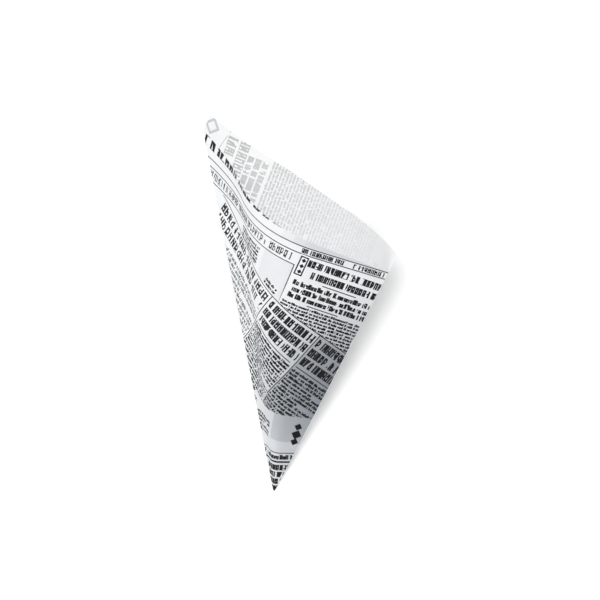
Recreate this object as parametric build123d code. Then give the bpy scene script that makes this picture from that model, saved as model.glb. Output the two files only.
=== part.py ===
from build123d import *
from dataclasses import dataclass
import math
import os

# A paper cone bag for French fries, in millimetres and degrees. One sheet is folded once into a triangle,
# with the fold down its long side, and its two other sides meet in a glued seam. The panels run to a point
# at the bottom, and the back panel stands above the front in a lip at the mouth. The bag is modelled a
# little open, lying on its back panel as it comes to rest on a table.

# The bag pressed flat
SEAM_LENGTH = 178.0  # point to mouth along the glued edge
MOUTH_WIDTH = 178.0  # the front's mouth edge, cut square to the glued edge
LIP = 12.7  # how far the back panel stands above the front's mouth
FLAP_WIDTH = 12.0  # glued margin turned over behind the back panel, measured at the mouth
FLAP_START = 20.0  # the margin is trimmed away up to here from the point
PAPER = 0.25  # wall, a little over real paper
POINT_BLUNT = 1.5  # the point is nipped off this far from where the creases would meet
POINT_CLOSED = 6.0  # up to here the two panels are pinched together

# The open bag where it is STATION from the point: every bend is part of a cone, so its radius and the width
# of paper in it grow evenly from the point
STATION = 252.0
FLAT_TO_FOLD = 22.0  # the flat that rests on the table, from the centre line towards the fold
FLAT_TO_SEAM = 14.0  # and towards the seam
FOLD_WALL_RADIUS = 62.0  # back panel curving up to the fold
FOLD_WALL_WIDTH = 74.0
SEAM_WALL_RADIUS = 105.0  # back panel curving up to the seam, with what paper is left
HOLLOW_RADIUS = 100.0  # front panel's hollow slope beside the fold
HOLLOW_WIDTH = 47.0
RIDGE_RADIUS = 56.0  # front panel's soft ridge, from which it runs straight to the seam

POINT_ANGLE = math.degrees(math.atan2(MOUTH_WIDTH, SEAM_LENGTH))
FLAT = math.inf  # radius of a stretch that isn't bent
MITRE = 5.0  # lean of a panel's trimmed edge, so that the two panels grow together inside the crease
SPARE_ANGLE = 1.0  # a panel is made this much too wide at its creases before it is trimmed
RIM_POINTS = 16  # points that a cut edge is drawn through
TIP_SIDES = 6  # sides for each panel of the pinched tip
TIP_SHARE = 0.9  # size of the pinched tip within the outside of the walls
HALVINGS = 50  # steps of a search by halves


@dataclass
class Wall:
    """Stretch of the sheet, swept round an axis through the point as part of a cone or of a flat disc."""

    ruling: Vector  # unit direction of the straight line from the point where it starts
    inwards: Vector  # unit normal there, into the bag
    axis: Vector
    turn: float  # degrees round the axis for the whole stretch
    flat_angle: float  # angle that it takes up in the flat sheet

    def at(self, angle):
        """Ruling and inward normal at an angle in the flat sheet, from the start."""
        axis = Axis((0, 0, 0), self.axis)
        turn = self.turn * angle / self.flat_angle
        return self.ruling.rotate(axis, turn), self.inwards.rotate(axis, turn)

    def end(self):
        return self.at(self.flat_angle)

    def reversed(self):
        return Wall(*self.end(), self.axis, -self.turn, self.flat_angle)

    def solid(self, first, last, near, far, proud, deep):
        """Layer between two angles and two distances, proud of the sheet's outside and deep into it."""
        ruling, inwards = self.at(first)
        corners = [ruling * near - inwards * proud, ruling * far - inwards * proud]
        corners += [ruling * far + inwards * deep, ruling * near + inwards * deep]
        turn = self.turn * (last - first) / self.flat_angle
        axis = Axis((0, 0, 0), self.axis if turn > 0 else self.axis * -1)
        return revolve(Face(Wire.make_polygon(corners)), axis, abs(turn))


def wall(start, radius, flat_angle):
    """Stretch from a start, bent round an axis inside the bag, or outside it where the radius is negative.

    A positive angle goes from the seam along the back to the fold and on along the front to the seam.
    """
    ruling, inwards = start
    half_angle = math.atan2(radius, STATION)
    axis = ruling * math.cos(half_angle) + inwards * math.sin(half_angle)
    return Wall(ruling, inwards, axis, flat_angle / math.sin(half_angle), abs(flat_angle))


def width_angle(width):
    """Angle in the flat sheet of a width measured STATION from the point."""
    return math.degrees(width / STATION)


def solve(falling, low, high):
    """Place between two limits where a falling function passes zero."""
    for _ in range(HALVINGS):
        middle = (low + high) / 2
        if falling(middle) > 0:
            low = middle
        else:
            high = middle
    return (low + high) / 2


def total(walls):
    return sum(wall.flat_angle for wall in walls)


def back_walls():
    """Seam-side wall, flat and fold-side wall. The flat lies on the table, and the rest follows from it."""
    up = Vector(0, 0, 1)
    flat_seam = Vector(FLAT_TO_SEAM, STATION, 0).normalized()
    flat_fold = Vector(-FLAT_TO_FOLD, STATION, 0).normalized()
    flat = wall((flat_seam, up), FLAT, flat_seam.get_angle(flat_fold))
    fold_wall = wall((flat_fold, up), FOLD_WALL_RADIUS, width_angle(FOLD_WALL_WIDTH))
    seam_angle = POINT_ANGLE - total([flat, fold_wall])
    seam_wall = wall((flat_seam, up), SEAM_WALL_RADIUS, -seam_angle)
    return [seam_wall.reversed(), flat, fold_wall]


def front_walls(back):
    """Hollow, ridge and straight slope, folded over at the fold so that the slope just reaches the seam."""
    fold, back_inwards = back[-1].end()
    seam = back[0].ruling

    def folded_by(fold_angle):
        inwards = back_inwards.rotate(Axis((0, 0, 0), fold), fold_angle)
        hollow = wall((fold, inwards), -HOLLOW_RADIUS, width_angle(HOLLOW_WIDTH))

        def ridge(angle):
            return wall(hollow.end(), RIDGE_RADIUS, angle)

        ridge_angle = solve(lambda angle: ridge(angle).end()[1].dot(seam), 0.0, 0.75 * POINT_ANGLE)
        top = ridge(ridge_angle)
        return [hollow, top, wall(top.end(), FLAT, top.end()[0].get_angle(seam))]

    return folded_by(solve(lambda angle: total(folded_by(angle)) - POINT_ANGLE, 45.0, 135.0))


def ruling_at(walls, angle):
    """Straight line from the point at an angle in the flat sheet, counted from the first wall's start."""
    for wall in walls[:-1]:
        if angle < wall.flat_angle:
            return wall.at(angle)[0]
        angle -= wall.flat_angle
    return walls[-1].at(angle)[0]


def cut_edge(walls, reach, start, end):
    """Plan curve of a cut edge, whose distance from the point is a rule of the angle from the seam."""
    points = []
    for count in range(RIM_POINTS + 1):
        angle = start + (end - start) * count / RIM_POINTS
        place = ruling_at(walls, angle) * reach(math.radians(angle))
        points.append(Vector(place.X, place.Y, 0))
    return Spline(points)


def beyond(*edges):
    """Block that covers everything past a mouth edge, given in plan from the seam to the fold."""
    first, last = edges[0] @ 0, edges[-1] @ 1
    left, right, far = last.X - STATION, first.X + STATION, 2 * STATION
    surround = Polyline(last, (left, last.Y), (left, far), (right, far), (right, first.Y), first)
    return extrude(make_face([*edges, surround]), amount=STATION, both=True)


def panel(walls):
    """Sheet along a row of walls, a little too long and too wide."""
    near = (POINT_BLUNT + POINT_CLOSED) / 2
    length = math.hypot(SEAM_LENGTH + LIP, MOUTH_WIDTH) + LIP
    spare = [SPARE_ANGLE] + [0.0] * (len(walls) - 1)
    stretches = []
    for wall, before, after in zip(walls, spare, reversed(spare)):
        stretches.append(wall.solid(-before, wall.flat_angle + after, near, length, 0.0, PAPER))
    return stretches[0].fuse(*stretches[1:])


def tip(walls):
    """Solid tip, inside the outside of the walls and far enough into them to close the bag."""
    sections = []
    for distance in (POINT_BLUNT, POINT_CLOSED):
        corners = []
        for count in range(2 * TIP_SIDES):
            ruling = ruling_at(walls, total(walls) * count / (2 * TIP_SIDES))
            corners.append(ruling * (distance / ruling.Y))
        middle = Face(Wire.make_polygon(corners)).center()
        inset = [middle + (corner - middle) * TIP_SHARE for corner in corners]
        sections.append(Face(Wire.make_polygon(inset)))
    return loft(sections, ruled=True)


def paper_cone():
    """The whole bag, with its point at the origin and its centre line along +Y."""
    back = back_walls()
    front = front_walls(back)
    fold, seam = front[0].ruling, back[0].ruling
    print("turns from the seam round to the seam", [round(wall.turn, 2) for wall in back + front])

    lip_length = SEAM_LENGTH + LIP
    corner_angle = math.degrees(math.atan2(MOUTH_WIDTH, lip_length))
    front_from_seam = [wall.reversed() for wall in reversed(front)]
    mouth = cut_edge(front_from_seam, lambda angle: SEAM_LENGTH / math.cos(angle), 0.0, POINT_ANGLE)
    lip = cut_edge(back, lambda angle: lip_length / math.cos(angle), 0.0, corner_angle)
    lip_end = cut_edge(back, lambda angle: MOUTH_WIDTH / math.sin(angle), corner_angle, POINT_ANGLE)

    front_panel = panel(front) - beyond(mouth)
    back_panel = panel(back) - beyond(lip, lip_end)
    for crease, lean in ((fold, MITRE), (seam, -MITRE)):
        line = Axis((0, 0, 0), crease)
        above = Plane((0, 0, 0), z_dir=seam.cross(fold).rotate(line, lean))
        below = Plane((0, 0, 0), z_dir=seam.cross(fold).rotate(line, -lean))
        front_panel = split(front_panel, bisect_by=above, keep=Keep.TOP)
        back_panel = split(back_panel, bisect_by=below, keep=Keep.BOTTOM)

    turned_angle = math.degrees(PAPER / FLAP_START)
    edge_angle = math.degrees(FLAP_WIDTH / SEAM_LENGTH)
    glue_flap = back[0].solid(turned_angle, edge_angle, FLAP_START, SEAM_LENGTH, PAPER, PAPER / 2)
    return front_panel + (back_panel + glue_flap) + tip(back + front)


bag = paper_cone()
box = bag.bounding_box()
bag = Pos(-box.center().X, -box.center().Y, -box.min.Z) * bag
print("size", box.size, "volume", round(bag.volume, 1), "centre of mass", bag.center(CenterOf.MASS))

os.makedirs("parts", exist_ok=True)
export_step(bag, "parts/paper_cone.step")
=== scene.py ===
# %% [markdown]
# # A paper cone for fries
# One square of thin greaseproof paper, printed like a page of newspaper cuttings, is folded on its diagonal
# and glued along one side. It lies a little open on its back panel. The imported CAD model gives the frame:
# where the bag lies and how large it is. This lesson makes the same bag as one thin printed sheet.

# %% Load the frame
import math
from typing import NamedTuple

import bpy
import numpy as np
from mathutils import Matrix, Quaternion, Vector


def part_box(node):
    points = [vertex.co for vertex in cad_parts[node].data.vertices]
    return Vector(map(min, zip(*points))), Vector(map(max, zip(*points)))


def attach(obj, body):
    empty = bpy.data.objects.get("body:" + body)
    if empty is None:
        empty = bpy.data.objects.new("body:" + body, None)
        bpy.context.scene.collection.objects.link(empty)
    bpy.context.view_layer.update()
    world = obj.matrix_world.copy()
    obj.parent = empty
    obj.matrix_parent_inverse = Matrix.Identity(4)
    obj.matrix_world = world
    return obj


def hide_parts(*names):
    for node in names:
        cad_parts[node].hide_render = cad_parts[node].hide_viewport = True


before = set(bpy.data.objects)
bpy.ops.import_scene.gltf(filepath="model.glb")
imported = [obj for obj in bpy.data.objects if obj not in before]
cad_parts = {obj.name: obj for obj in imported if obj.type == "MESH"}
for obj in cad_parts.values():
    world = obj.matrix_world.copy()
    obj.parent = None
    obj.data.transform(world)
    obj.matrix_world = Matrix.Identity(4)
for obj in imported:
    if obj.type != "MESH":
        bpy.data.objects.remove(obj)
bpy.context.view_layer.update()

# %% [markdown]
# ## The flat sheet
# The real bag starts as a flat piece of paper, and it is easiest to describe before it is folded. The open
# shape could be pulled out of a cone by hand, but then its cut edges would have to be guessed. Seen from
# the point, every place on the flat sheet has a distance and an angle: the front panel takes the first 45
# degrees from the seam, the fold comes next, and the back panel takes the other 45 degrees. The mouth is cut
# straight, so how far the sheet reaches is one over the cosine of the angle. The back is cut longer, which
# makes the lip.

# %% Sizes of the flat sheet
MM = 0.001  # Blender counts in metres
SEAM_LENGTH = 178 * MM  # from the point to the mouth along the glued edge
MOUTH_WIDTH = 178 * MM  # the front's mouth edge, cut square to the seam
LIP = 12.7 * MM  # how far the back panel stands above the front's mouth
FLAP_WIDTH = 12 * MM  # glued margin behind the back panel, measured at the mouth
FLAP_START = 20 * MM  # the margin is trimmed away up to here from the point
POINT_BLUNT = 1.5 * MM  # the point is nipped off this far from where the creases would meet
PAPER = 0.12 * MM  # thickness, somewhat over that of the real paper

PANEL_ANGLE = math.atan2(MOUTH_WIDTH, SEAM_LENGTH)
LIP_CORNER = math.atan2(MOUTH_WIDTH, SEAM_LENGTH + LIP)
FLAP_ANGLE = FLAP_WIDTH / SEAM_LENGTH


def rim(angle):
    """Distance from the point to the cut edge, at an angle from the front's seam edge."""
    if angle <= 0:
        return SEAM_LENGTH
    if angle <= PANEL_ANGLE:
        return SEAM_LENGTH / math.cos(angle)
    from_back_seam = 2 * PANEL_ANGLE - angle
    if from_back_seam > LIP_CORNER:
        return MOUTH_WIDTH / math.sin(from_back_seam)
    return (SEAM_LENGTH + LIP) / math.cos(from_back_seam)


print("fold", round(rim(PANEL_ANGLE), 4), "m, lip corner", round(rim(2 * PANEL_ANGLE - LIP_CORNER), 4), "m")

# %% [markdown]
# ## Bending without stretching
# Paper bends but doesn't stretch, so an open paper cone is made of straight lines that all start at its
# point. A cloth simulation could find such a shape, but it stretches the sheet a little and gives no say in
# where the bends lie. The rule behind it is simple enough to follow: between creases the lines turn round an
# axis through the point, as on an ice cream cone, or lie in a flat. A stretch of angle in the flat sheet
# turns by that angle divided by the sine of the cone's half angle. Walking round the bag stretch by stretch
# gives each line's direction and the way into the bag.

# %% Bends of the open bag, measured STATION from the point
STATION = 252 * MM
FLAT_TO_FOLD = 22 * MM  # the flat that rests on the table, from the centre line towards the fold
FLAT_TO_SEAM = 14 * MM  # and towards the seam
FOLD_WALL_RADIUS = 62 * MM  # back panel curving up to the fold
FOLD_WALL_WIDTH = 74 * MM
SEAM_WALL_RADIUS = 105 * MM  # back panel curving up to the seam, with what paper is left
HOLLOW_RADIUS = 100 * MM  # front panel's hollow slope beside the fold
HOLLOW_WIDTH = 47 * MM
RIDGE_RADIUS = 56 * MM  # front panel's soft ridge, from which it runs straight to the seam
FLAT = math.inf  # radius of a stretch that isn't bent


class Stretch:
    """Part of the sheet between two lines through the point, bent round one axis.

    The axis lies on the inside, or outside where the radius is negative.
    """

    def __init__(self, start, radius, angle):
        self.ruling, self.inwards = start
        half_angle = math.atan2(radius, STATION)
        self.axis = self.ruling * math.cos(half_angle) + self.inwards * math.sin(half_angle)
        self.rate = math.copysign(1, angle) / math.sin(half_angle)
        self.angle = abs(angle)

    def at(self, angle):
        """Direction of the line and the way into the bag, at an angle in the flat sheet from the start."""
        turn = Quaternion(self.axis, self.rate * angle)
        return turn @ self.ruling, turn @ self.inwards

    def end(self):
        return self.at(self.angle)


# %% The back panel, starting from the flat that lies on the table
up = Vector((0, 0, 1))
flat_seam = Vector((FLAT_TO_SEAM, STATION, 0)).normalized()
flat_fold = Vector((-FLAT_TO_FOLD, STATION, 0)).normalized()
table_flat = Stretch((flat_seam, up), FLAT, flat_seam.angle(flat_fold))
fold_wall = Stretch((flat_fold, up), FOLD_WALL_RADIUS, FOLD_WALL_WIDTH / STATION)
seam_wall = Stretch((flat_seam, up), SEAM_WALL_RADIUS, table_flat.angle + fold_wall.angle - PANEL_ANGLE)
seam_line = seam_wall.end()[0]


def back_line(angle):
    """Direction and inward normal on the back panel, at an angle from the fold."""
    if angle < fold_wall.angle:
        return fold_wall.at(fold_wall.angle - angle)
    angle -= fold_wall.angle
    if angle < table_flat.angle:
        return table_flat.at(table_flat.angle - angle)
    return seam_wall.at(angle - table_flat.angle)


back_angles = [round(math.degrees(part.angle), 1) for part in (fold_wall, table_flat, seam_wall)]
print("back panel from the fold to the seam", back_angles, "degrees of the flat sheet")

# %% The front panel, folded over so that it just reaches the seam
HALVINGS = 50  # steps of a search by halves
RIDGE_LIMITS = (0.001, 0.75 * PANEL_ANGLE)
FOLD_LIMITS = (math.radians(45), math.radians(135))


def solve(falling, low, high):
    """Place between two limits where a falling function passes zero."""
    for _ in range(HALVINGS):
        middle = (low + high) / 2
        if falling(middle) > 0:
            low = middle
        else:
            high = middle
    return (low + high) / 2


def front_stretches(fold_angle):
    """Hollow, ridge and straight slope of a front that is folded over by an angle."""
    fold_line, back_inwards = fold_wall.end()
    start = fold_line, Quaternion(fold_line, fold_angle) @ back_inwards
    hollow = Stretch(start, -HOLLOW_RADIUS, HOLLOW_WIDTH / STATION)

    def seam_within(angle):
        """How far the seam lies inwards of the slope that leaves a ridge of this angle."""
        _, inwards = Stretch(hollow.end(), RIDGE_RADIUS, angle).end()
        return inwards.dot(seam_line)

    ridge = Stretch(hollow.end(), RIDGE_RADIUS, solve(seam_within, *RIDGE_LIMITS))
    slope = Stretch(ridge.end(), FLAT, ridge.end()[0].angle(seam_line))
    return hollow, ridge, slope


def missing_paper(fold_angle):
    """Angle of paper that a front folded over like this takes up beyond what the sheet has."""
    return sum(part.angle for part in front_stretches(fold_angle)) - PANEL_ANGLE


fold_angle = solve(missing_paper, *FOLD_LIMITS)
hollow, ridge, slope = front_stretches(fold_angle)


def front_line(angle):
    """Direction and inward normal on the front panel, at an angle from the fold."""
    for part in (hollow, ridge):
        if angle < part.angle:
            return part.at(angle)
        angle -= part.angle
    return slope.at(angle)


print("front folded over by", round(math.degrees(fold_angle), 1), "degrees, and its ridge turns by",
      round(math.degrees(ridge.angle * ridge.rate), 1))

# %% [markdown]
# ## The walk round the mouth
# The sheet's mesh is a grid: one column for each line from the point, one row for each share of the way to
# the rim. The lines are worked out once in Python, because a search by halves is clumsy in nodes. They are
# kept as a string of points on a ball of radius one metre, each with its angle, its reach and the way into
# the bag. Columns fall exactly on the seam, the fold and the lip's corner, so those come out sharp. Before
# the seam comes the glued margin, which lies behind the back panel, a little further out.

# %% Lines from the point as a string of points
FLAP_COLUMNS = 5
FRONT_COLUMNS = 96
CORNER_COLUMNS = 5
BACK_COLUMNS = 96
FLAP_LIFT = 0.2 * MM  # of the margin, off the back panel
CALM_ANGLE = math.radians(6)  # dents die away this near to a crease
TABLE_LEAN = 0.15  # and where the way into the bag is this near to straight up, as on the table


class Ruling(NamedTuple):
    """A straight line of the sheet, from the point to the rim."""

    line: Vector  # its direction
    inwards: Vector  # the way into the bag
    lift: float  # how far it lies outside the bag's own wall
    calm: float  # room for dents, from none to one


def ruling_at(angle):
    """The sheet's line at an angle from the front's seam edge."""
    if angle < 0:
        return Ruling(*back_line(PANEL_ANGLE + angle), FLAP_LIFT, 0.0)
    near_crease = min(angle, abs(angle - PANEL_ANGLE), 2 * PANEL_ANGLE - angle)
    calm = min(1.0, near_crease / CALM_ANGLE)
    if angle <= PANEL_ANGLE:
        return Ruling(*front_line(PANEL_ANGLE - angle), 0.0, calm)
    line, inwards = back_line(angle - PANEL_ANGLE)
    off_table = min(1.0, max(0.0, 1 - inwards.z) / TABLE_LEAN)
    return Ruling(line, inwards, 0.0, calm * off_table)


corner_angle = 2 * PANEL_ANGLE - LIP_CORNER
column_angles = np.concatenate([
    np.linspace(-FLAP_ANGLE, 0, FLAP_COLUMNS, endpoint=False),
    np.linspace(0, PANEL_ANGLE, FRONT_COLUMNS, endpoint=False),
    np.linspace(PANEL_ANGLE, corner_angle, CORNER_COLUMNS, endpoint=False),
    np.linspace(corner_angle, 2 * PANEL_ANGLE, BACK_COLUMNS + 1),
])
rulings = [ruling_at(angle) for angle in column_angles]
walk_mesh = bpy.data.meshes.new("walk_round_the_mouth")
walk_mesh.from_pydata([ruling.line for ruling in rulings], [], [])
inwards_values = [part for ruling in rulings for part in ruling.inwards]
walk_mesh.attributes.new("inwards", "FLOAT_VECTOR", "POINT").data.foreach_set("vector", inwards_values)
for name, values in (
    ("angle", list(column_angles)),
    ("reach", [rim(angle) for angle in column_angles]),
    ("lift", [ruling.lift for ruling in rulings]),
    ("calm", [ruling.calm for ruling in rulings]),
):
    walk_mesh.attributes.new(name, "FLOAT", "POINT").data.foreach_set("value", values)
print("columns", len(rulings))

# %% [markdown]
# ## Calculating with sockets
# The node trees below are mostly arithmetic. Each sum could be a Math node placed and linked by hand, which
# is hard to read back. A small class that stands for a socket lets the script write a sum as a sum, and adds
# one Math node for each sign. The nodes that come out are the same as those made by hand.

# %% Nodes, and a socket to calculate with
def wire(tree, value, socket):
    """Link a socket, or set a plain value."""
    value = value.socket if isinstance(value, Number) else value
    if isinstance(value, bpy.types.NodeSocket):
        tree.links.new(value, socket)
    else:
        socket.default_value = value


def add_node(tree, kind, inputs=None, **settings):
    """New node with its settings, and its inputs linked or set by name or number."""
    node = tree.nodes.new(kind)
    for name, value in settings.items():
        setattr(node, name, value)
    for name, value in (inputs or {}).items():
        wire(tree, value, node.inputs[name])
    return node


class Number:
    """A number that changes over the surface: one socket of a tree."""

    def __init__(self, tree, socket):
        self.tree, self.socket = tree, socket

    def calc(self, operation, *others):
        values = dict(enumerate((self, *others)))
        node = add_node(self.tree, "ShaderNodeMath", values, operation=operation)
        return Number(self.tree, node.outputs[0])

    def __add__(self, other):
        return self.calc("ADD", other)

    def __sub__(self, other):
        return self.calc("SUBTRACT", other)

    def __mul__(self, other):
        return self.calc("MULTIPLY", other)

    def __truediv__(self, other):
        return self.calc("DIVIDE", other)

    def below(self, other):
        return self.calc("LESS_THAN", other)

    def above(self, other):
        return self.calc("GREATER_THAN", other)

    def most(self, other):
        return self.calc("MAXIMUM", other)

    def least(self, other):
        return self.calc("MINIMUM", other)

    def floor(self):
        return self.calc("FLOOR")

    def size(self):
        return self.calc("ABSOLUTE")


# %% Groups, vectors, choices and ranges
MIX_SOCKETS = {"VECTOR": (4, 1), "RGBA": (6, 2)}  # number of the first input and of the output


def new_group(name, inputs, outputs, kind="ShaderNodeTree"):
    """Node group with named sockets, and the sockets that it is given."""
    tree = bpy.data.node_groups.new(name, kind)
    for direction, sockets in (("INPUT", inputs), ("OUTPUT", outputs)):
        for socket_name, socket_kind in sockets:
            tree.interface.new_socket(socket_name, in_out=direction, socket_type="NodeSocket" + socket_kind)
    return tree, add_node(tree, "NodeGroupInput").outputs


def split_vector(tree, vector):
    node = add_node(tree, "ShaderNodeSeparateXYZ", {0: vector})
    return [Number(tree, socket) for socket in node.outputs]


def join_vector(tree, x, y, z):
    return add_node(tree, "ShaderNodeCombineXYZ", {0: x, 1: y, 2: z}).outputs[0]


def vector_calc(tree, operation, *values):
    node = add_node(tree, "ShaderNodeVectorMath", dict(enumerate(values)), operation=operation)
    return node.outputs["Vector"]


def scaled(tree, vector, factor):
    node = add_node(tree, "ShaderNodeVectorMath", {0: vector, "Scale": factor}, operation="SCALE")
    return node.outputs["Vector"]


def choose(tree, factor, under, over, kind):
    """The under value, or the over value where the factor is one."""
    first, result = MIX_SOCKETS[kind]
    inputs = {"Factor": factor, first: under, first + 1: over}
    return add_node(tree, "ShaderNodeMix", inputs, data_type=kind).outputs[result]


def ranged(tree, value, limits, results, interpolation="LINEAR"):
    """Number that goes from one result to the other while the value goes between its limits."""
    node = add_node(tree, "ShaderNodeMapRange", {
        "Value": value, "From Min": limits[0], "From Max": limits[1],
        "To Min": results[0], "To Max": results[1],
    }, interpolation_type=interpolation)
    return Number(tree, node.outputs[0])


# %% [markdown]
# ## The sheet
# The paper is one smooth sheet with soft dents from handling. Its points could all be worked out in Python,
# but a Geometry Nodes tree keeps its sizes open to change as named inputs. The tree turns the string of
# points into the sheet. Each grid point looks up its column's line and goes out along it by its share of the
# reach. Soft dents push it a little in or out, less near a crease and not at all where the bag lies on the
# table. The first row is drawn together into the closed point. The flat place of every corner is kept as
# the sheet's UV map, so the print lies on it as on real paper.

# %% Where a point of the grid lies
TINY = 0.0001  # less than one row's share, one column or one column's angle
DENT_RISE = 3  # dents reach their height a third of the way from the point
NOISE_MIDDLE = 0.5  # noise runs from 0 to 1, mostly near this


class GridPoint(NamedTuple):
    """Where a point of the grid lies, on the flat sheet and in space."""

    angle: Number
    distance: Number
    along: Number  # on the flat sheet, from the point in the seam's direction
    across: Number
    place: bpy.types.NodeSocket


def grid_point(tree, given):
    """A grid point's place, from its column's line and its row's share of the way to the rim."""
    index = Number(tree, add_node(tree, "GeometryNodeInputIndex").outputs[0])
    rows = Number(tree, given["Rows"])
    column = (index / rows + TINY).floor()
    share = (index - column * rows) / (rows - 1)

    def looked_up(name, kind):
        """What the column's line keeps under a name."""
        found = add_node(tree, "GeometryNodeInputNamedAttribute", {"Name": name}, data_type=kind)
        sample = add_node(tree, "GeometryNodeSampleIndex", {
            "Geometry": given["Geometry"], "Value": found.outputs["Attribute"], "Index": column,
        }, data_type=kind, domain="POINT")
        return sample.outputs["Value"]

    line, inwards = looked_up("position", "FLOAT_VECTOR"), looked_up("inwards", "FLOAT_VECTOR")
    angle, reach, lift, calm = [
        Number(tree, looked_up(name, "FLOAT")) for name in ("angle", "reach", "lift", "calm")
    ]
    point = Number(tree, given["Point"])
    distance = point + (reach - point) * share
    along, across = distance * angle.calc("COSINE"), distance * angle.calc("SINE")

    size = Number(tree, given["Dent Size"])
    dent_place = join_vector(tree, along / size, across / size, given["Dent Seed"])
    noise = add_node(tree, "ShaderNodeTexNoise", {"Vector": dent_place, "Scale": 1.0, "Detail": 1.0})
    fade = calm * (share * DENT_RISE).least(1.0)
    swing = (Number(tree, noise.outputs[0]) - NOISE_MIDDLE) * 2
    dent = swing * Number(tree, given["Dent Height"]) * fade
    place = vector_calc(tree, "ADD", scaled(tree, line, distance), scaled(tree, inwards, dent - lift))
    tip = scaled(tree, given["Point Line"], point)
    return GridPoint(angle, distance, along, across, choose(tree, share.below(TINY), place, tip, "VECTOR"))


# %% Tree that makes the sheet from the lines
UV_MARGIN = 15 * MM  # room for the glued margin, which lies on the other side of the seam
UV_SPAN = 220 * MM  # side of the square that holds the whole flat sheet
MERGE_DISTANCE = 0.001 * MM


def sheet_tree():
    tree, given = new_group("Folded Sheet", [
        ("Geometry", "Geometry"), ("Rows", "Int"), ("Point", "Float"), ("Point Line", "Vector"),
        ("Flap Start", "Float"), ("Dent Height", "Float"), ("Dent Size", "Float"), ("Dent Seed", "Float"),
        ("Finish", "Material"),
    ], [("Geometry", "Geometry")], kind="GeometryNodeTree")
    lines = add_node(tree, "GeometryNodeAttributeDomainSize", {"Geometry": given["Geometry"]})
    grid = add_node(tree, "GeometryNodeMeshGrid", {
        "Vertices X": lines.outputs["Point Count"], "Vertices Y": given["Rows"],
    })
    point = grid_point(tree, given)
    shaped = add_node(tree, "GeometryNodeSetPosition", {
        "Geometry": grid.outputs["Mesh"], "Position": point.place,
    })

    def on_points(value, kind):
        return add_node(tree, "GeometryNodeFieldOnDomain", {"Value": value}, data_type=kind).outputs[0]

    u, v = (point.along + UV_MARGIN) / UV_SPAN, (point.across + UV_MARGIN) / UV_SPAN
    mapped = add_node(tree, "GeometryNodeStoreNamedAttribute", {
        "Geometry": shaped.outputs[0], "Name": "UVMap",
        "Value": on_points(join_vector(tree, u, v, 0.0), "FLOAT_VECTOR"),
    }, data_type="FLOAT2", domain="CORNER")
    in_flap = Number(tree, on_points(point.angle, "FLOAT")).below(-TINY)
    trimmed = in_flap * Number(tree, on_points(point.distance, "FLOAT")).below(given["Flap Start"])
    kept = add_node(tree, "GeometryNodeDeleteGeometry", {
        "Geometry": mapped.outputs[0], "Selection": trimmed,
    }, domain="FACE")
    merged = add_node(tree, "GeometryNodeMergeByDistance", {
        "Geometry": kept.outputs[0], "Distance": MERGE_DISTANCE,
    })
    outwards = add_node(tree, "GeometryNodeFlipFaces", {"Mesh": merged.outputs[0]})
    smooth = add_node(tree, "GeometryNodeSetShadeSmooth", {"Geometry": outwards.outputs[0]})
    real = add_node(tree, "GeometryNodeRealizeInstances", {"Geometry": smooth.outputs[0]})
    finished = add_node(tree, "GeometryNodeSetMaterial", {
        "Geometry": real.outputs[0], "Material": given["Finish"],
    })
    add_node(tree, "NodeGroupOutput", {"Geometry": finished.outputs[0]})
    return tree


folded_sheet = sheet_tree()
print("tree", folded_sheet.name, len(folded_sheet.nodes), "nodes")

# %% [markdown]
# ## The print
# The paper is covered with newspaper cuttings laid over one another at odd angles. A picture of a page could
# be put on it, but a picture blurs from close by, so the shader draws the print. None of it is there to be
# read: rows of marks with the weight and rhythm of type are enough. A shader group called Cutting is one
# rectangle on the flat sheet. It passes on what lies under it, or its own rows and its own tone of paper.
# A printed rule is only a thin dark cutting. The rows of type are drawn once, at the end of the chain, at the
# size that the top cutting asks for, so a long chain costs little more than a short one.

# %% Group for one cutting
def cutting_group():
    tree, given = new_group("Cutting", [
        ("Place", "Vector"), ("Under Row", "Vector"), ("Under Type", "Vector"), ("Under Paper", "Vector"),
        ("Middle", "Vector"), ("Turn", "Float"), ("Width", "Float"), ("Height", "Float"),
        ("Type", "Vector"), ("Tone", "Float"), ("Seed", "Float"),
    ], [("Row", "Vector"), ("Type", "Vector"), ("Paper", "Vector")])
    turned = add_node(tree, "ShaderNodeVectorRotate", {
        "Vector": given["Place"], "Center": given["Middle"], "Angle": Number(tree, given["Turn"]) * -1,
    }, rotation_type="Z_AXIS")
    from_middle = vector_calc(tree, "SUBTRACT", turned.outputs[0], given["Middle"])
    along, upwards, _ = split_vector(tree, from_middle)
    half_width, half_height = Number(tree, given["Width"]) / 2, Number(tree, given["Height"]) / 2
    inside = along.size().below(half_width) * upwards.size().below(half_height)
    row = join_vector(tree, along + half_width, half_height - upwards, given["Seed"])
    paper = join_vector(tree, given["Tone"], given["Width"], 0.0)
    add_node(tree, "NodeGroupOutput", {
        "Row": choose(tree, inside, given["Under Row"], row, "VECTOR"),
        "Type": choose(tree, inside, given["Under Type"], given["Type"], "VECTOR"),
        "Paper": choose(tree, inside, given["Under Paper"], paper, "VECTOR"),
    })
    return tree


cutting = cutting_group()
print("group", cutting.name, len(cutting.nodes), "nodes")

# %% [markdown]
# ## Rows of type
# A row is cut into letter boxes. White noise gives each box its own few strokes: thick stems with thin feet,
# part of a bowl, a slant or a bar, put together by chance and as often as not mirrored, so that nothing is
# spelt. Now and then half a box stays empty, which is the space between words, and some rows stop short, as
# at the end of a paragraph. A font could give real letters, but then the page would say something. In a
# headline the strokes can be told apart; in a column they run together into the grey dashes of small print.

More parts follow.
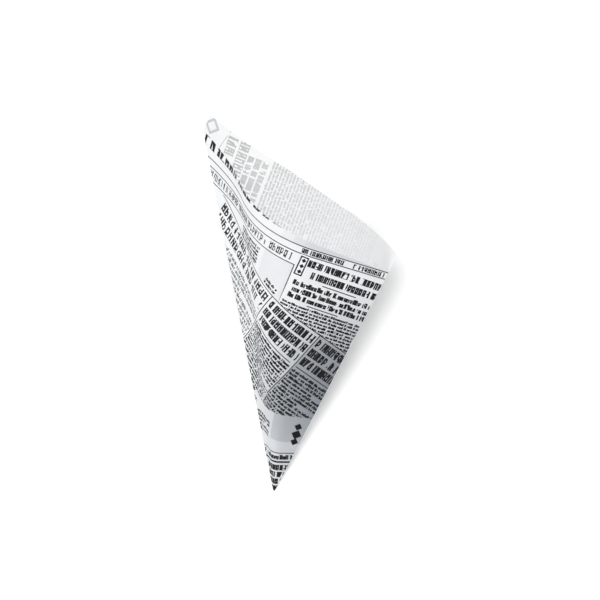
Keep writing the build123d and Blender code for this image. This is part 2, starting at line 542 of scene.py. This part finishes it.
# %% Strokes of one letter
LEFT_STEM, RIGHT_STEM, STEM_PLAY = 0.17, 0.7, 0.1  # shares of a letter's box, from its left
RIGHT_STEM_WEIGHT = 0.8  # beside the left stem's
FEET_FROM, FOOT_REACH = 0.43, 0.13  # of the height from the middle, and of the box past the stem
BOWL_MIDDLE, BOWL_HALF_WIDTH = 0.46, 0.33
BOWL_HIGHEST, BOWL_DROP = 0.28, 0.44  # shares of the height, from its top
BOWL_LEAST, BOWL_GROWTH = 0.26, 0.2
BOWL_RING, BOWL_WEIGHT = 0.85, 2
SLANT_START, SLANT_RUN = 0.17, 0.6
BAR_HIGHEST, BAR_DROP = 0.15, 0.7
BAR_HALF_WIDTH, BAR_HALF_DEPTH = 0.32, 0.1
NO_LEFT_STEM, WITH_RIGHT_STEM = 0.12, 0.6  # shares of all letters
WITH_BOWL, WITH_SLANT, WITHOUT_BAR = 0.6, 0.22, 0.45


def letter_strokes(side, height, weight, stem_chances, other_chances):
    """Ink of a letter, at a share of its box from the left and of its height from the top."""
    left_play, right_play, stem_chance = stem_chances
    bowl_chance, slant_chance = other_chances
    left = side - (left_play * STEM_PLAY + LEFT_STEM)
    right = side - (right_play * STEM_PLAY + RIGHT_STEM)
    left_stem = left.size().below(weight) * stem_chance.above(NO_LEFT_STEM)
    right_stem = right.size().below(weight * RIGHT_STEM_WEIGHT) * stem_chance.below(WITH_RIGHT_STEM)
    feet = (height - 0.5).size().above(FEET_FROM) * left.size().below(weight + FOOT_REACH)
    bowl_across = (side - BOWL_MIDDLE) / BOWL_HALF_WIDTH
    bowl_middle = right_play * BOWL_DROP + BOWL_HIGHEST
    bowl_down = (height - bowl_middle) / (left_play * BOWL_GROWTH + BOWL_LEAST)
    from_ring = (bowl_across * bowl_across + bowl_down * bowl_down).calc("SQRT") - BOWL_RING
    bowl = from_ring.size().below(weight * BOWL_WEIGHT) * bowl_chance.below(WITH_BOWL)
    slant = (side - height * SLANT_RUN - SLANT_START).size().below(weight) * slant_chance.below(WITH_SLANT)
    from_bar = (height - (left_play * BAR_DROP + BAR_HIGHEST)).size()
    bar = from_bar.below(BAR_HALF_DEPTH) * (side - BOWL_MIDDLE).size().below(BAR_HALF_WIDTH)
    bar = bar * slant_chance.above(WITHOUT_BAR)
    return left_stem.most(right_stem).most(feet).most(bowl).most(slant).most(bar)


# %% Group for rows of unreadable type
HAIR = 0.01  # millimetres, too little to see
ROW_CLEAR, ROW_LETTERS = 0.11, 0.78  # shares of a row: clear above its letters, and taken up by them
DRAWS = {"stems": 0.5, "other strokes": 97.5, "mirroring": 71.5, "short rows": 53.5, "words": 31.5}
LETTERS_IN_A_WORD = 6
SPACE_WIDTH = 0.5  # of a letter's box
CAPITALS_FROM = 2.4  # letters at least this wide are all of one height, and their rows are all full
SHORT_ROWS = 0.05  # share of the other rows
SHORT_ROW_LEAST, SHORT_ROW_PLAY = 0.4, 0.5  # of a full row
TALL_LETTERS, LOW_LETTER_TOP = 0.3, 0.26


def type_rows_group():
    tree, given = new_group(
        "Rows of Type", [("Row", "Vector"), ("Type", "Vector"), ("Length", "Float")], [("Ink", "Float")]
    )
    along, down, seed = split_vector(tree, given["Row"])
    pitch, letter, weight = split_vector(tree, given["Type"])
    row_count = down / pitch.most(HAIR)
    row = row_count.floor()
    row_height = (row_count - row - ROW_CLEAR) / ROW_LETTERS
    box_count = along / letter.most(HAIR)
    box = box_count.floor()
    box_side = box_count - box

    def chances(draw, column=box):
        """Three numbers from 0 to 1 for a place in a row, with three more for each draw."""
        place = join_vector(tree, column + DRAWS[draw], row, seed)
        noise = add_node(tree, "ShaderNodeTexWhiteNoise", {"Vector": place}, noise_dimensions="3D")
        return split_vector(tree, noise.outputs["Color"])

    def mirrored(share, chance):
        """The share, or for half the letters the same from the other end."""
        return share + (share * -2 + 1) * chance.above(0.5)

    bowl_chance, slant_chance, low_chance = chances("other strokes")
    across_chance, down_chance, _ = chances("mirroring")
    side, height = mirrored(box_side, across_chance), mirrored(row_height, down_chance)
    strokes = letter_strokes(side, height, weight, chances("stems"), (bowl_chance, slant_chance))

    word = (box / LETTERS_IN_A_WORD).floor()
    space_box = (chances("words", word)[0] * LETTERS_IN_A_WORD).floor() + word * LETTERS_IN_A_WORD
    other_box = (box - space_box).size().above(0.5)
    not_space = other_box.most(box_side.above(SPACE_WIDTH))

    short_chance, short_play, _ = chances("short rows", box * 0)
    full_row = short_chance.above(SHORT_ROWS).most(letter.above(CAPITALS_FROM))
    row_share = (short_play * SHORT_ROW_PLAY + SHORT_ROW_LEAST + full_row).least(1.0)
    row_end = Number(tree, given["Length"]) * row_share
    low_letter = low_chance.above(TALL_LETTERS) * letter.below(CAPITALS_FROM)
    in_row = row_height.above(low_letter * LOW_LETTER_TOP) * row_height.below(1.0)
    in_row = in_row * (box * letter + letter).below(row_end + HAIR)
    add_node(tree, "NodeGroupOutput", {"Ink": strokes * in_row * not_space * pitch.above(HAIR)})
    return tree


type_rows = type_rows_group()
print("group", type_rows.name, len(type_rows.nodes), "nodes")

# %% [markdown]
# ## The layout
# Below is the page, in millimetres on the flat sheet. Each cutting has the place of its top left corner, to
# the right of the seam (so the numbers are negative) and up from the point, then its turn in degrees and the
# tone of its paper, as the eye sees it from 0 for black to 1 for white. Its blocks are given from that
# corner: to the right, down, width, height and kind of type. The places could be scattered by chance, but
# the blocks of a page are given one by one, and only a list puts each headline where it is on the real bag.

# %% Kinds of type
PLAIN = (0.0, 1.0, 0.0)  # pitch of the rows, width of a letter, weight of a stem
SOLID = (0.0, 1.0, 1.0)
FINE = (2.37, 1.15, 0.3)
SMALL = (2.7, 1.25, 0.28)
SMALL_LIGHT = (3.6, 1.5, 0.15)
SMALL_BOLD = (2.7, 1.5, 0.38)
MEDIUM = (4.7, 2.1, 0.26)
WIDE = (5.4, 2.5, 0.25)
BOLD = (6.2, 2.6, 0.235)
TALL = (8.0, 3.0, 0.22)
LARGE = (9.4, 4.4, 0.135)
HUGE = (13.0, 6.2, 0.17)
LIGHT = (4.2, 2.45, 0.2)
LIGHT_TALL = (6.6, 2.8, 0.13)
INK_TONE = 0.12
RULE = 0.65  # thickness of a printed line
print("rows of type from", FINE[0], "to", HUGE[0], "mm apart")

# %% Cuttings on the front, from the lowest to the uppermost
BAND = (-178, 176.5, 4.2)  # right, up and turn of the band along the mouth
COLUMNS = (-140, 152.6, -15)  # and of the slanting columns
PALE = (-46, 51, 14)  # and of the pale place above the point

FRONT_CUTTINGS = [
    ("ground", -250, 250, -8, 0.95, [(0, 0, 330, 330, SMALL)]),
    ("band", *BAND, 0.99, [
        (-10, -20, 210, 80, PLAIN),
        (4, -5.5, 99.2, 13, HUGE),
        (0, 11.5, 200, RULE, SOLID),
        (0, 16.4, 200, RULE, SOLID),
        (118, 12.2, 29.4, 4.2, LIGHT),
        (154, 12.2, 29.4, 4.2, LIGHT),
        (10, 17.7, 103.6, 6.6, LIGHT_TALL),
        (14, 25.2, 103.5, RULE, SOLID),
        (66, 28, 26.1, 14.5, SMALL),
        (117, 25.2, RULE, 30, SOLID),
    ]),
    ("right", -58.5, 168.5, 2, 1.0, [
        (0, 0, 70, 60, PLAIN),
        (0.8, 1, 5.6, 13.6, SOLID),
        (1.7, 1.9, 3.8, 11.8, PLAIN),
        (7, 1.2, 52, 6.2, BOLD),
        (12, 8.5, 46.8, 6.2, BOLD),
        (22, 15.8, 24, RULE, SOLID),
        (3, 17.2, 56.7, 14.1, MEDIUM),
        (18, 32.2, 22, RULE, SOLID),
        (1, 33.5, 60.95, 28.4, FINE),
    ]),
    ("bare box", *BAND, 0.95, [(95, 25.85, 22, 34, PLAIN)]),
    ("slanting left", *COLUMNS, 0.99, [
        (0, 0, 180, 76, PLAIN),
        (4, 1.5, 74.8, 18.8, LARGE),
        (4, 23, 75, 54, SMALL_LIGHT),
    ]),
    ("slanting middle", *COLUMNS, 0.98, [
        (80, 0, 100, 76, PLAIN),
        (80, 0, RULE, 60, SOLID),
        (82, 1.5, 40.3, 24, TALL),
        (82, 27, 37, RULE, SOLID),
        (81.4, 28.5, 39, 10.8, SMALL_BOLD),
        (81.4, 39.3, 40, 35.1, SMALL),
    ]),
    ("slanting right", *COLUMNS, 0.85, [
        (122, 0, 60, 76, PLAIN),
        (122, 0, RULE, 58, SOLID),
        (124, 1.5, 37.2, 24, TALL),
        (124, 27, 37, RULE, SOLID),
        (123.2, 29, 37.5, 46.8, SMALL),
        (0, 0, 182, RULE, SOLID),
    ]),
    ("pale", *PALE, 1.0, [
        (0, 0, 70, 30, PLAIN),
        (0, 8, 18.75, 13.5, SMALL),
    ]),
    ("pale patch", *PALE, 0.9, [(21, 0, 50, 20, PLAIN)]),
    ("point", -42, 22, 20, 0.98, [
        (0, 0, 80, 60, PLAIN),
        (0, 3, 80, RULE, SOLID),
        (4, 4.2, 52.5, 4.7, MEDIUM),
        (0, 9.6, 80, 2 * RULE, SOLID),
        (4, 12, 55, 21.6, WIDE),
    ]),
    # The three rim strips along the front's mouth are painted shade, each a step darker towards the seam.
    ("rim shade left", *BAND, 0.965, [(103, -10, 8, 21.5, PLAIN)]),
    ("rim shade middle", *BAND, 0.935, [(111, -10, 8, 21.5, PLAIN)]),
    ("rim shade right", *BAND, 0.905, [(119, -10, 90, 21.5, PLAIN)]),
    ("note", -71.5, 141, -15, 1.0, [(0, 0, 11.25, 5.4, SMALL)]),
]
print("cuttings on the front", len(FRONT_CUTTINGS))

# %% Lozenges that stand in a frame and in a column
LOZENGES = [
    # right, up, size
    (-54.6, 164.8, 2.2), (-54.4, 160.8, 2.2), (-54.2, 156.8, 2.2),
    (-6.2, 53.2, 4.0), (-4.9, 47.4, 5.2), (-3.9, 41.8, 4.0),
]
LOZENGE_TURN = 45
LOZENGE_CUTTINGS = [
    ("lozenge", right, upwards, LOZENGE_TURN, 1.0, [(-size / 2, -size / 2, size, size, SOLID)])
    for right, upwards, size in LOZENGES
]
print("lozenges", len(LOZENGE_CUTTINGS))

# %% Cuttings on the back
BACK_TURN = -12
BACK_TONE = 0.98
BACK_CUTTINGS = [
    ("back ground", -250, 250, BACK_TURN, BACK_TONE, [(0, 0, 330, 330, PLAIN)]),
    ("back corner", -185, 173, 36, BACK_TONE, [
        (-4.5, -4.5, 9, 9, SOLID),
        (-2.8, -2.8, 5.6, 5.6, PLAIN),
    ]),
    ("back rule", -196, 159.3, 5, BACK_TONE, [(0, 0, 30, RULE, SOLID)]),
    ("back slanting rule", -196, 161.7, -18, BACK_TONE, [(0, 0, 60, RULE, SOLID)]),
    ("back at the lip", -186, 176, BACK_TURN, BACK_TONE, [(0, 16, 61.6, 18.8, LARGE)]),
    ("back below the lip", -184, 140.5, BACK_TURN, BACK_TONE, [
        (0, 0, 100, 16.2, WIDE),
        (-4, 17.5, 110.4, 33.2, FINE),
    ]),
    ("back", -181, 92.5, BACK_TURN, BACK_TONE, [
        (-20, 0, 87.4, 64, FINE),
        (69, 0, RULE, 64, SOLID),
        (72, 1, 54, 16, TALL),
        (72, 18, 54, RULE, SOLID),
        (72, 20, 54.05, 42.6, FINE),
    ]),
    ("back low", -178, 25, BACK_TURN, BACK_TONE, [
        (24, 0, 146, 2 * RULE, SOLID),
        (4, 3, 158.6, 12.4, BOLD),
        (4, 19, 159.85, 26, FINE),
    ]),
]
print("cuttings on the back", len(BACK_CUTTINGS))

# %% [markdown]
# ## The whole page
# The cuttings are now laid down one after another, each block a Cutting group that is given what lies under
# it. Each group could be placed by hand, but a loop over the lists can't miss one. The front and the back
# have a chain each, because their pages slant in different ways. On the flat sheet the fold runs up to the
# left at 45 degrees, so past it the way right and the way up add to less than nothing.

# %% Group for the whole page
FRONT_SEED = 0.5  # each block's rows get the next seed
BACK_SEED = 100.5
BARE = {"Row": (0.0, 0.0, 0.0), "Type": PLAIN, "Paper": (1.0, 0.0, 0.0)}


def use_group(tree, group, inputs):
    """Outputs of a group that is placed in a tree."""
    return add_node(tree, "ShaderNodeGroup", inputs, node_tree=group).outputs


def cutting_chain(tree, place, cuttings, seed):
    """Row, type and paper of the uppermost cutting at a place."""
    below = BARE
    for _, right, upwards, degrees, tone, blocks in cuttings:
        turn = math.radians(degrees)
        corner = Vector((right, upwards, 0.0))
        for from_left, down, width, height, letters in blocks:
            middle = Vector((from_left + width / 2, -down - height / 2, 0.0))
            middle.rotate(Quaternion((0, 0, 1), turn))
            below = use_group(tree, cutting, {
                "Place": place,
                "Under Row": below["Row"], "Under Type": below["Type"], "Under Paper": below["Paper"],
                "Middle": corner + middle, "Turn": turn, "Width": width, "Height": height,
                "Type": letters, "Tone": INK_TONE if letters == SOLID else tone, "Seed": seed,
            })
            seed += 1
    return below


def newsprint_group(front_cuttings, back_cuttings):
    """A chain of cuttings on each side of the fold, then one drawing of the type."""
    tree, given = new_group("Newsprint", [("Place", "Vector")], [("Ink", "Float"), ("Tone", "Float")])
    right, upwards, _ = split_vector(tree, given["Place"])
    past_fold = (right + upwards).below(0.0)
    front = cutting_chain(tree, given["Place"], front_cuttings, FRONT_SEED)
    back = cutting_chain(tree, given["Place"], back_cuttings, BACK_SEED)
    row, letters, paper = [
        choose(tree, past_fold, front[name], back[name], "VECTOR") for name in ("Row", "Type", "Paper")
    ]
    tone, length, _ = split_vector(tree, paper)
    ink = use_group(tree, type_rows, {"Row": row, "Type": letters, "Length": length})["Ink"]
    add_node(tree, "NodeGroupOutput", {"Ink": ink, "Tone": tone})
    return tree


newsprint = newsprint_group(FRONT_CUTTINGS + LOZENGE_CUTTINGS, BACK_CUTTINGS)
print("group", newsprint.name, len(newsprint.nodes), "nodes")

# %% [markdown]
# ## Paper
# Greaseproof paper is smooth, a little cloudy where fibres lie thicker, and very slightly uneven to the
# touch. A scan of paper could show that, but noise in millimetres on the flat sheet does too, at any
# distance. One group gives it to the outside, the inside and the cut edge. Low on the seam side the paper
# is darkened by painted shade that fades out softly, and that is a group as well.

# %% Group for the paper itself
CLOUD_SCALE, LUMP_SCALE, FIBRE_SCALE = 0.09, 0.25, 1.6  # waves in a millimetre
CLOUD_DEPTH, FIBRE_DEPTH = 0.07, 0.05  # of the paper's brightness
FIBRE_HEIGHT = 0.4  # beside that of a lump
ROUGHNESS, ROUGHNESS_PLAY = 0.55, 0.2


def paper_group():
    tree, given = new_group(
        "Thin Paper", [("Place", "Vector")],
        [("Cloud", "Float"), ("Fibre", "Float"), ("Height", "Float"), ("Roughness", "Float")],
    )

    def noise(scale, detail):
        inputs = {"Vector": given["Place"], "Scale": scale, "Detail": detail}
        return Number(tree, add_node(tree, "ShaderNodeTexNoise", inputs).outputs[0])

    cloud = noise(CLOUD_SCALE, detail=3.0) - NOISE_MIDDLE
    fibre = noise(FIBRE_SCALE, detail=4.0)
    fibre_swing = fibre - NOISE_MIDDLE
    add_node(tree, "NodeGroupOutput", {
        "Cloud": cloud * CLOUD_DEPTH + fibre_swing * FIBRE_DEPTH + 1,
        "Fibre": fibre,
        "Height": fibre * FIBRE_HEIGHT + noise(LUMP_SCALE, detail=2.0),
        "Roughness": fibre_swing * ROUGHNESS_PLAY + ROUGHNESS,
    })
    return tree


thin_paper = paper_group()
print("group", thin_paper.name, len(thin_paper.nodes), "nodes")

# %% Group for the painted shade
# Painted shade: the paper is made darker round this place on the flat sheet, fading out softly.
SHADE_MIDDLE = (20.0, 85.0, 0.0)  # millimetres to the right and up
SHADE_REACH = 100.0
SHADE_DEPTH = 0.34


def painted_shade_group():
    tree, given = new_group("Painted Shade", [("Place", "Vector")], [("Shade", "Float")])
    away = add_node(tree, "ShaderNodeVectorMath", {0: given["Place"], 1: SHADE_MIDDLE}, operation="DISTANCE")
    shade = ranged(tree, away.outputs["Value"], (0.0, SHADE_REACH), (1 - SHADE_DEPTH, 1.0), "SMOOTHSTEP")
    add_node(tree, "NodeGroupOutput", {"Shade": shade})
    return tree


painted_shade = painted_shade_group()
print("group", painted_shade.name, len(painted_shade.nodes), "nodes")

# %% [markdown]
# ## The two sides and the cut edge
# The outside of the bag carries the print at full strength. Inside, the same print shows faintly through the
# thin paper, and less so deep in the bag, where little light falls on it from behind. A shader that lets
# light through could do that, but it is slow and grainy on so thin a sheet. The inside is therefore plain
# paper painted a little brighter than the outside, as painted light that comes through it, with a weak
# copy of the print that is painted stronger towards the mouth. The cut edge is bare paper. All three come
# from one function.

# %% Materials of the two sides and the cut edge
PAPER_COLOUR = (0.925, 0.935, 0.95)
# the inside is painted brighter than the outside, as painted light for light that comes through the thin
# sheet
INSIDE_PAPER_AND_PAINTED_LIGHT = (0.965, 0.968, 0.975)
INK_COLOUR = (0.006, 0.006, 0.008, 1)
# A tone as the eye sees it, raised to these, is the share of red, green and blue light that it throws back.
EYE_POWERS = (2.35, 2.2, 2.05)
INK_LIMITS = (30.0, 150.0)  # millimetres up, between which the ink's strength changes
INK_LEAST, INK_FIBRE = 0.86, 0.3  # fibres take the ink unevenly
SHINE = 0.15
BUMP_STRENGTH = 0.15
BUMP_HEIGHT = 0.05 * MM


def flat_place(tree):
    """Place on the flat sheet in millimetres, to the right and up as the print is read."""
    span, margin = UV_SPAN / MM, UV_MARGIN / MM
    uv = add_node(tree, "ShaderNodeUVMap", uv_map="UVMap")
    return add_node(tree, "ShaderNodeMapping", {
        "Vector": uv.outputs["UV"], "Scale": (span, span, 1), "Rotation": (0, 0, math.radians(90)),
        "Location": (margin, -margin, 0),
    }).outputs[0]


def paper_material(name, colour, ink_shares, tone_share):
    """Paper, with its ink's strength at the point and at the mouth, and the strength of its tones and painted
    shade.
    """
    material = bpy.data.materials.new(name)
    material.use_nodes = True
    tree = material.node_tree
    shader = tree.nodes["Principled BSDF"]
    place = flat_place(tree)
    paper = use_group(tree, thin_paper, {"Place": place})
    page = use_group(tree, newsprint, {"Place": place})
    # painted shade, darkening the paper low on the seam side
    shade = Number(tree, use_group(tree, painted_shade, {"Place": place})["Shade"])

    # tone of the print's paper, darkened further by the painted shade
    tone = (Number(tree, page["Tone"]) * shade - 1) * tone_share + 1
    light = vector_calc(tree, "POWER", join_vector(tree, tone, tone, tone), EYE_POWERS)
    toned_with_painted_shade = scaled(tree, vector_calc(tree, "MULTIPLY", light, colour), paper["Cloud"])
    strength = ranged(tree, split_vector(tree, place)[1], INK_LIMITS, ink_shares)
    density = (Number(tree, paper["Fibre"]) * INK_FIBRE + INK_LEAST).least(1.0) * strength
    printed = choose(tree, Number(tree, page["Ink"]) * density, toned_with_painted_shade, INK_COLOUR, "RGBA")
    bump = add_node(tree, "ShaderNodeBump", {
        "Strength": BUMP_STRENGTH, "Distance": BUMP_HEIGHT, "Height": paper["Height"],
    })
    wire(tree, printed, shader.inputs["Base Color"])
    wire(tree, paper["Roughness"], shader.inputs["Roughness"])
    wire(tree, SHINE, shader.inputs["Specular IOR Level"])
    wire(tree, bump.outputs[0], shader.inputs["Normal"])
    return material


outside = paper_material("printed_paper_outside", PAPER_COLOUR, ink_shares=(1.0, 1.0), tone_share=1.0)
# painted light: the print shows through more towards the mouth, where more light comes through
inside = paper_material("paper_inside", INSIDE_PAPER_AND_PAINTED_LIGHT, ink_shares=(0.08, 0.42), tone_share=0.2)
cut_edge = paper_material("paper_cut_edge", PAPER_COLOUR, ink_shares=(0.0, 0.0), tone_share=0.0)
print("materials", [material.name for material in (outside, inside, cut_edge)])

# %% [markdown]
# ## Making the sheet
# The tree makes a sheet without thickness, which is then turned into a plain mesh. Real paper has two sides
# and a cut edge. The tree could make those too, but the Solidify modifier does it in one step: it copies the
# sheet inwards, closes the rim, and gives both their own material by counting slots on from the first.

# %% Make the sheet
ROWS = 150
DENT_HEIGHT = 0.45 * MM
DENT_SIZE = 32 * MM
DENT_SEED = 4.2

sheet = bpy.data.objects.new("paper_sheet", walk_mesh)
bpy.context.scene.collection.objects.link(sheet)
panel_lines = [ruling.line for ruling in rulings[FLAP_COLUMNS:]]
point_line = sum(panel_lines, Vector()) / len(panel_lines)
modifier = sheet.modifiers.new("folded sheet", "NODES")
modifier.node_group = folded_sheet
sheet_values = {
    "Rows": ROWS, "Point": POINT_BLUNT, "Point Line": tuple(point_line), "Flap Start": FLAP_START,
    "Dent Height": DENT_HEIGHT, "Dent Size": DENT_SIZE, "Dent Seed": DENT_SEED, "Finish": outside,
}
for item in folded_sheet.interface.items_tree:
    if item.in_out == "INPUT" and item.name in sheet_values:
        modifier[item.identifier] = sheet_values[item.name]


def made_plain(piece):
    """Turn what the modifiers make into the object's own mesh, and remove them."""
    graph = bpy.context.evaluated_depsgraph_get()
    mesh = bpy.data.meshes.new_from_object(piece.evaluated_get(graph))
    piece.modifiers.clear()
    piece.data = mesh
    return mesh


one_side = made_plain(sheet)
print("one side", len(one_side.vertices), "points", len(one_side.polygons), "faces")

# %% Give the sheet its thickness
one_side.materials.clear()  # a grid brings an empty slot of its own
for material in (outside, inside, cut_edge):
    one_side.materials.append(material)
thickness = sheet.modifiers.new("paper", "SOLIDIFY")
thickness.thickness = PAPER
thickness.offset = -1
thickness.material_offset = 1
thickness.material_offset_rim = 2
mesh = made_plain(sheet)
print("sheet", len(mesh.vertices), "points", len(mesh.polygons), "faces", [m.name for m in mesh.materials])

# %% [markdown]
# ## Putting the sheet in its place
# So far the bag's point lies at the origin. Moving the object would do, but a finished piece keeps its place
# in its mesh, so the points themselves are moved to where the CAD bag lies: its right side is where the seam
# meets the lip, and its lowest y is the blunt point. Creases stay sharp, and gentle bends are shaded smooth.

# %% Put the sheet where the CAD bag lies
SHARP_ANGLE = math.radians(35)

lowest, highest = (Vector(corner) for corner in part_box("paper_cone"))
reach_right = (seam_line * (SEAM_LENGTH + LIP)).x
point_place = Vector((highest.x - reach_right, lowest.y - POINT_BLUNT, 0))
mesh.transform(Matrix.Translation(point_place))
mesh.set_sharp_from_angle(angle=SHARP_ANGLE)
mesh.update()
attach(sheet, "root")
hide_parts("paper_cone")
print("point at", [round(c, 4) for c in point_place])

# %% [markdown]
# ## Floor
# The bag lies on white, and only its shadow shows that something carries it. A shadow catcher would need
# compositing, so a white floor runs out past the picture. Only what the eye sees of it, straight or in a
# reflection, is made a little brighter than it is lit, so that it turns plain white and still holds the bag's
# shadow. Far out, where the lamps no longer reach, this rises until the floor is white by itself.

# %% Floor
FLOOR_HALF = 6.0
FLOOR_GAP = 0.1 * MM  # so that the resting flat and the floor are never one plane
FLOOR_CORNERS = ((-1, -1), (1, -1), (1, 1), (-1, 1))

floor_points = [(x * FLOOR_HALF, y * FLOOR_HALF, -FLOOR_GAP) for x, y in FLOOR_CORNERS]
floor_mesh = bpy.data.meshes.new("floor")
floor_mesh.from_pydata(floor_points, [], [(0, 1, 2, 3)])
floor = bpy.data.objects.new("floor", floor_mesh)
bpy.context.scene.collection.objects.link(floor)
print("floor", 2 * FLOOR_HALF, "m wide")

# %% Finish of the floor
FLOOR_COLOUR = (0.9, 0.9, 0.9, 1)
FLOOR_ROUGHNESS = 0.9
FLOOR_SHINE = 0.0
WHITE = (1, 1, 1, 1)
GLOW_LIMITS = (0.5, 2.0)  # metres from the bag
GLOW_STRENGTHS = (0.22, 1.0)


def seen_by_eye(tree):
    """One on rays that the eye follows, also by reflection or through glass, and none on all others."""
    rays = add_node(tree, "ShaderNodeLightPath").outputs
    seen = Number(tree, rays["Is Camera Ray"])
    return seen.most(rays["Is Glossy Ray"]).most(rays["Is Transmission Ray"])


def floor_material():
    material = bpy.data.materials.new("white_floor")
    material.use_nodes = True
    tree = material.node_tree
    place = add_node(tree, "ShaderNodeTexCoord").outputs["Object"]
    away = add_node(tree, "ShaderNodeVectorMath", {0: place}, operation="LENGTH").outputs["Value"]
    glow = ranged(tree, away, GLOW_LIMITS, GLOW_STRENGTHS) * seen_by_eye(tree)
    shader = tree.nodes["Principled BSDF"]
    wire(tree, FLOOR_COLOUR, shader.inputs["Base Color"])
    wire(tree, FLOOR_ROUGHNESS, shader.inputs["Roughness"])
    wire(tree, FLOOR_SHINE, shader.inputs["Specular IOR Level"])
    wire(tree, WHITE, shader.inputs["Emission Color"])
    wire(tree, glow, shader.inputs["Emission Strength"])
    return material


floor_mesh.materials.append(floor_material())
print("floor finish", floor_mesh.materials[0].name)

# %% [markdown]
# ## Light
# Thin white paper in a photographer's tent is lit softly from all round, a little more from above the mouth
# and from beside the fold. A picture of a studio could light it, but this script reads no pictures. A dim
# white world is the tent, and three large round lamps give the direction.

# %% The tent
WORLD_LIGHT = 0.35
WORLD_SEEN = 1.0

world = bpy.data.worlds.new("studio")
bpy.context.scene.world = world
world.use_nodes = True
sky = world.node_tree.nodes["Background"]
sky_strength = seen_by_eye(world.node_tree) * (WORLD_SEEN - WORLD_LIGHT) + WORLD_LIGHT
wire(world.node_tree, WHITE, sky.inputs["Color"])
wire(world.node_tree, sky_strength, sky.inputs["Strength"])
print("world", WORLD_LIGHT, "on the bag,", WORLD_SEEN, "to the eye")

# %% Lamps
LAMP_SIZE = 1.4
LAMP_AIM = Vector((0, 0, 0.03))
LAMPS = [
    # name, place in metres, power in watts
    ("above_the_mouth", (0.0, 1.0, 1.4), 13),
    ("right_of_the_mouth", (0.9, 0.8, 1.2), 8),
    ("beside_the_fold", (-0.9, -0.8, 1.2), 12),
]


def softbox(name, place, power):
    lamp = bpy.data.lights.new(name, "AREA")
    lamp.shape = "DISK"
    lamp.size = LAMP_SIZE
    lamp.energy = power
    lamp_object = bpy.data.objects.new(name, lamp)
    bpy.context.scene.collection.objects.link(lamp_object)
    lamp_object.location = place
    lamp_object.rotation_euler = (LAMP_AIM - Vector(place)).to_track_quat("-Z", "Y").to_euler()


for lamp_name, lamp_place, watts in LAMPS:
    softbox(lamp_name, lamp_place, watts)
print("lamps", [lamp_name for lamp_name, _, _ in LAMPS])

# %% [markdown]
# ## Camera
# The photograph looks down on the bag from far off, with its point towards the viewer. A camera could be set
# by eye. This one comes from fitting the bag's creases and cut edges to those in the photograph, so that the
# two pictures can be laid over each other. It is given by its own three axes and the place that it aims at.

# %% Camera at the photograph's viewing angle
CAMERA_RIGHT = Vector((0.91037, 0.16314, -0.38027))
CAMERA_UP = Vector((-0.18224, 0.98315, -0.0145))
CAMERA_BACK = Vector((0.3715, 0.0825, 0.92476))
CAMERA_DISTANCE = 1006.92 * MM
AIM_FROM_POINT = Vector((0, 138.45, 25.17)) * MM
AIM_SHIFT = CAMERA_RIGHT * (5.0 * MM) + CAMERA_UP * (-3.446 * MM)
LENS = 91.25  # millimetres, as on a real camera
SENSOR = 36

camera_data = bpy.data.cameras.new("camera")
camera_data.lens = LENS
camera_data.sensor_width = SENSOR
camera = bpy.data.objects.new("camera", camera_data)
bpy.context.scene.collection.objects.link(camera)
aim = point_place + AIM_FROM_POINT + AIM_SHIFT
view = Matrix((CAMERA_RIGHT, CAMERA_UP, CAMERA_BACK)).transposed().to_4x4()
camera.matrix_world = Matrix.Translation(aim + CAMERA_BACK * CAMERA_DISTANCE) @ view
bpy.context.scene.camera = camera
bpy.context.scene.view_settings.view_transform = "Standard"
print("camera", CAMERA_DISTANCE, "m from its aim at", [round(c, 4) for c in aim])
